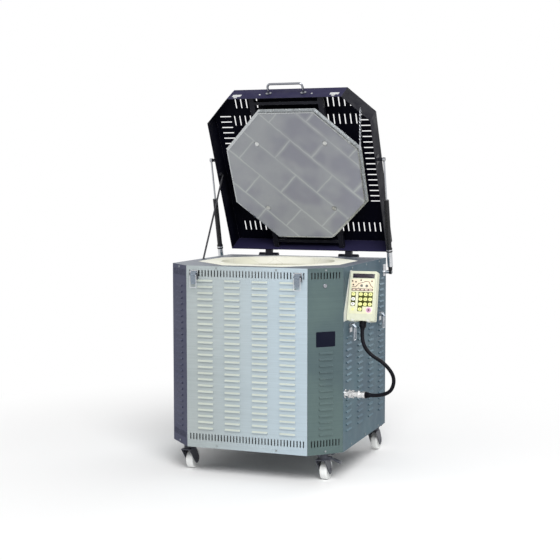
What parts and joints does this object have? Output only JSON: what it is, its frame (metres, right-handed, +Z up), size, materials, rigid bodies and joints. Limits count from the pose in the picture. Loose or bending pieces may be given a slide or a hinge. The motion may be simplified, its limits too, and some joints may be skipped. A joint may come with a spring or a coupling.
{
  "type": "electric pottery kiln",
  "caption": "Top-loading electric pottery kiln: square vented cabinet on casters, round brick chamber, hinged lid held open by gas struts, handset on a cable.",
  "frame": {"origin": "on the floor, under the middle of the box that holds the whole kiln with its lid open, its free handset cable left out", "axes": "+X to the right of the front, +Y towards the rear and the lid's hinge, +Z up"},
  "size_m": [0.9936, 0.8672, 1.6101],
  "materials": {
    "front_sheet": "smooth light silver enamel",
    "corner_sheet": "smooth mid grey enamel",
    "side_sheet": "smooth blue-grey enamel",
    "top_sheet": "smooth grey enamel",
    "lid_paint": "satin near-black navy enamel",
    "dark_paint": "satin black enamel",
    "frame_paint": "plain grey enamel",
    "screw_steel": "zinc plated",
    "firebrick": "matt insulating brick",
    "rim_brick": "matt coated brick",
    "slab_brick": "matt coated brick with pale joints",
    "jacket_steel": "plain sheet",
    "element_wire": "oxidised resistance wire",
    "black_plastic": "matt black",
    "caster_steel": "dark plated steel",
    "latch_steel": "bright plated",
    "stay_steel": "plain dark rod",
    "chrome": "polished",
    "band_steel": "stainless sheet",
    "blank_plate": "plain black",
    "cream_plastic": "cream moulding",
    "membrane": "printed membrane",
    "cable_rubber": "matt black sheath",
    "plug_metal": "satin nickel shell",
    "strut_paint": "gloss black tube",
    "white_nylon": "white nylon",
    "bracket_paint": "plain white enamel"
  },
  "bodies": {
    "cabinet": {"front_panel": "front_sheet", "front_left_corner_panel": "corner_sheet", "front_right_corner_panel": "corner_sheet", "left_side_panel": "side_sheet", "right_side_panel": "side_sheet", "rear_panel": "side_sheet", "panel_screws": "screw_steel", "base_frame": "frame_paint", "top_plate": "top_sheet", "chamber_floor": "firebrick", "chamber_wall": "firebrick", "chamber_rim": "rim_brick", "chamber_jacket": "jacket_steel", "heating_elements": "element_wire", "electrical_parts": "black_plastic", "mains_gland": "black_plastic", "caster_plates": "caster_steel", "latch_bases": "latch_steel", "key_lock_barrel": "chrome", "blank_plate": "blank_plate", "handset_case": "cream_plastic", "handset_membrane": "membrane", "handset_bracket": "bracket_paint", "handset_gland": "black_plastic", "handset_cable": "cable_rubber", "cable_plug": "plug_metal", "hinge_brackets": "dark_paint", "strut_brackets": "latch_steel"},
    "lid": {"lid_shell": "lid_paint", "lid_slab": "slab_brick", "slab_band": "band_steel", "slab_frame": "dark_paint", "lid_fasteners": "screw_steel", "lid_brackets": "dark_paint", "lid_handle": "chrome", "strike_plates": "latch_steel"},
    "caster_fork_front_left": {"caster_fork_front_left": "caster_steel"},
    "caster_wheel_front_left": {"caster_wheel_front_left": "white_nylon"},
    "caster_fork_front_right": {"caster_fork_front_right": "caster_steel"},
    "caster_wheel_front_right": {"caster_wheel_front_right": "white_nylon"},
    "caster_fork_rear_left": {"caster_fork_rear_left": "caster_steel"},
    "caster_wheel_rear_left": {"caster_wheel_rear_left": "white_nylon"},
    "caster_fork_rear_right": {"caster_fork_rear_right": "caster_steel"},
    "caster_wheel_rear_right": {"caster_wheel_rear_right": "white_nylon"},
    "brake_pedal": {"brake_pedal": "caster_steel"},
    "latch_lever_front_left": {"latch_lever_front_left": "latch_steel"},
    "latch_bail_front_left": {"latch_bail_front_left": "latch_steel"},
    "latch_lever_front_right": {"latch_lever_front_right": "latch_steel"},
    "latch_bail_front_right": {"latch_bail_front_right": "latch_steel"},
    "latch_lever_side_front": {"latch_lever_side_front": "latch_steel"},
    "latch_bail_side_front": {"latch_bail_side_front": "latch_steel"},
    "latch_lever_side_rear": {"latch_lever_side_rear": "latch_steel"},
    "latch_bail_side_rear": {"latch_bail_side_rear": "latch_steel"},
    "key_lock_rotor": {"key_lock_rotor": "chrome"},
    "strut_cylinder_left": {"strut_cylinder_left": "strut_paint"},
    "strut_rod_left": {"strut_rod_left": "chrome"},
    "strut_cylinder_right": {"strut_cylinder_right": "strut_paint"},
    "strut_rod_right": {"strut_rod_right": "chrome"},
    "stay_rod": {"stay_rod": "stay_steel"},
    "lid_chain": {"lid_chain": "chrome"}
  },
  "joints": [
    {"name": "lid_hinge", "type": "hinge", "parent": "cabinet", "child": "lid", "pos_m": [-0.03719, 0.35476, 0.858], "axis": [-1, 0, 0], "range_deg": [-63.67, 0]},
    {"name": "caster_swivel_front_left", "type": "hinge", "parent": "cabinet", "child": "caster_fork_front_left", "pos_m": [-0.32319, -0.33059, 0.105], "axis": [0, 0, 1], "continuous": true},
    {"name": "caster_roll_front_left", "type": "hinge", "parent": "caster_fork_front_left", "child": "caster_wheel_front_left", "pos_m": [-0.32319, -0.29659, 0.04], "axis": [1, 0, 0], "continuous": true},
    {"name": "caster_swivel_front_right", "type": "hinge", "parent": "cabinet", "child": "caster_fork_front_right", "pos_m": [0.25981, -0.32659, 0.105], "axis": [0, 0, 1], "continuous": true},
    {"name": "caster_roll_front_right", "type": "hinge", "parent": "caster_fork_front_right", "child": "caster_wheel_front_right", "pos_m": [0.25981, -0.29259, 0.04], "axis": [1, 0, 0], "continuous": true},
    {"name": "caster_swivel_rear_left", "type": "hinge", "parent": "cabinet", "child": "caster_fork_rear_left", "pos_m": [-0.37119, 0.27141, 0.105], "axis": [0, 0, 1], "continuous": true},
    {"name": "caster_roll_rear_left", "type": "hinge", "parent": "caster_fork_rear_left", "child": "caster_wheel_rear_left", "pos_m": [-0.37119, 0.30541, 0.04], "axis": [1, 0, 0], "continuous": true},
    {"name": "caster_swivel_rear_right", "type": "hinge", "parent": "cabinet", "child": "caster_fork_rear_right", "pos_m": [0.30081, 0.27141, 0.105], "axis": [0, 0, 1], "continuous": true},
    {"name": "caster_roll_rear_right", "type": "hinge", "parent": "caster_fork_rear_right", "child": "caster_wheel_rear_right", "pos_m": [0.30081, 0.30541, 0.04], "axis": [1, 0, 0], "continuous": true},
    {"name": "brake_pedal_press", "type": "hinge", "parent": "caster_fork_front_right", "child": "brake_pedal", "pos_m": [0.28781, -0.32659, 0.091], "axis": [0, 1, 0], "range_deg": [0, 12]},
    {"name": "latch_lever_swing_front_left", "type": "hinge", "parent": "cabinet", "child": "latch_lever_front_left", "pos_m": [-0.25819, -0.41959, 0.829], "axis": [-1, 0, 0], "range_deg": [0, 130]},
    {"name": "latch_bail_swing_front_left", "type": "hinge", "parent": "latch_lever_front_left", "child": "latch_bail_front_left", "pos_m": [-0.25819, -0.42959, 0.819], "axis": [1, 0, 0], "range_deg": [-190, 0]},
    {"name": "latch_lever_swing_front_right", "type": "hinge", "parent": "cabinet", "child": "latch_lever_front_right", "pos_m": [0.18381, -0.41959, 0.829], "axis": [-1, 0, 0], "range_deg": [0, 130]},
    {"name": "latch_bail_swing_front_right", "type": "hinge", "parent": "latch_lever_front_right", "child": "latch_bail_front_right", "pos_m": [0.18381, -0.42959, 0.819], "axis": [1, 0, 0], "range_deg": [-190, 0]},
    {"name": "latch_lever_swing_side_front", "type": "hinge", "parent": "cabinet", "child": "latch_lever_side_front", "pos_m": [0.34181, -0.20159, 0.616], "axis": [0, -1, 0], "range_deg": [0, 130]},
    {"name": "latch_bail_swing_side_front", "type": "hinge", "parent": "latch_lever_side_front", "child": "latch_bail_side_front", "pos_m": [0.35181, -0.20159, 0.606], "axis": [0, 1, 0], "range_deg": [-190, 0]},
    {"name": "latch_lever_swing_side_rear", "type": "hinge", "parent": "cabinet", "child": "latch_lever_side_rear", "pos_m": [0.34181, 0.23441, 0.616], "axis": [0, -1, 0], "range_deg": [0, 130]},
    {"name": "latch_bail_swing_side_rear", "type": "hinge", "parent": "latch_lever_side_rear", "child": "latch_bail_side_rear", "pos_m": [0.35181, 0.23441, 0.606], "axis": [0, 1, 0], "range_deg": [-190, 0]},
    {"name": "key_lock_turn", "type": "hinge", "parent": "cabinet", "child": "key_lock_rotor", "pos_m": [0.27498, -0.35842, 0.785], "axis": [0.7071, -0.7071, 0], "range_deg": [0, 90]},
    {"name": "strut_swing_left", "type": "hinge", "parent": "cabinet", "child": "strut_cylinder_left", "pos_m": [-0.43819, 0.29741, 0.795], "axis": [-1, 0, 0], "range_deg": [-63.8, 0]},
    {"name": "strut_slide_left", "type": "slide", "parent": "strut_cylinder_left", "child": "strut_rod_left", "axis": [0, -0.2391, 0.971], "range_m": [-0.0905, 0]},
    {"name": "strut_swing_right", "type": "hinge", "parent": "cabinet", "child": "strut_cylinder_right", "pos_m": [0.36381, 0.29741, 0.795], "axis": [-1, 0, 0], "range_deg": [-63.8, 0]},
    {"name": "strut_slide_right", "type": "slide", "parent": "strut_cylinder_right", "child": "strut_rod_right", "axis": [0, -0.2391, 0.971], "range_m": [-0.0905, 0]},
    {"name": "stay_rod_swing", "type": "hinge", "parent": "lid", "child": "stay_rod", "pos_m": [-0.38819, 0.19242, 1.22212], "axis": [-1, 0, 0], "range_deg": [0, 32.8]},
    {"name": "lid_chain_swing", "type": "hinge", "parent": "lid", "child": "lid_chain", "pos_m": [0.29619, 0.04444, 1.49227], "axis": [-1, 0, 0], "range_deg": [0, 63.8]}
  ],
  "couplings": [
    {"joint": "strut_swing_left", "follows": "lid_hinge", "ratio": 0.99314},
    {"joint": "strut_slide_left", "follows": "lid_hinge", "m_per_rad": 0.08082},
    {"joint": "strut_swing_right", "follows": "lid_hinge", "ratio": 0.99314},
    {"joint": "strut_slide_right", "follows": "lid_hinge", "m_per_rad": 0.08082},
    {"joint": "stay_rod_swing", "follows": "lid_hinge", "ratio": -0.51},
    {"joint": "lid_chain_swing", "follows": "lid_hinge", "ratio": -1}
  ]
}
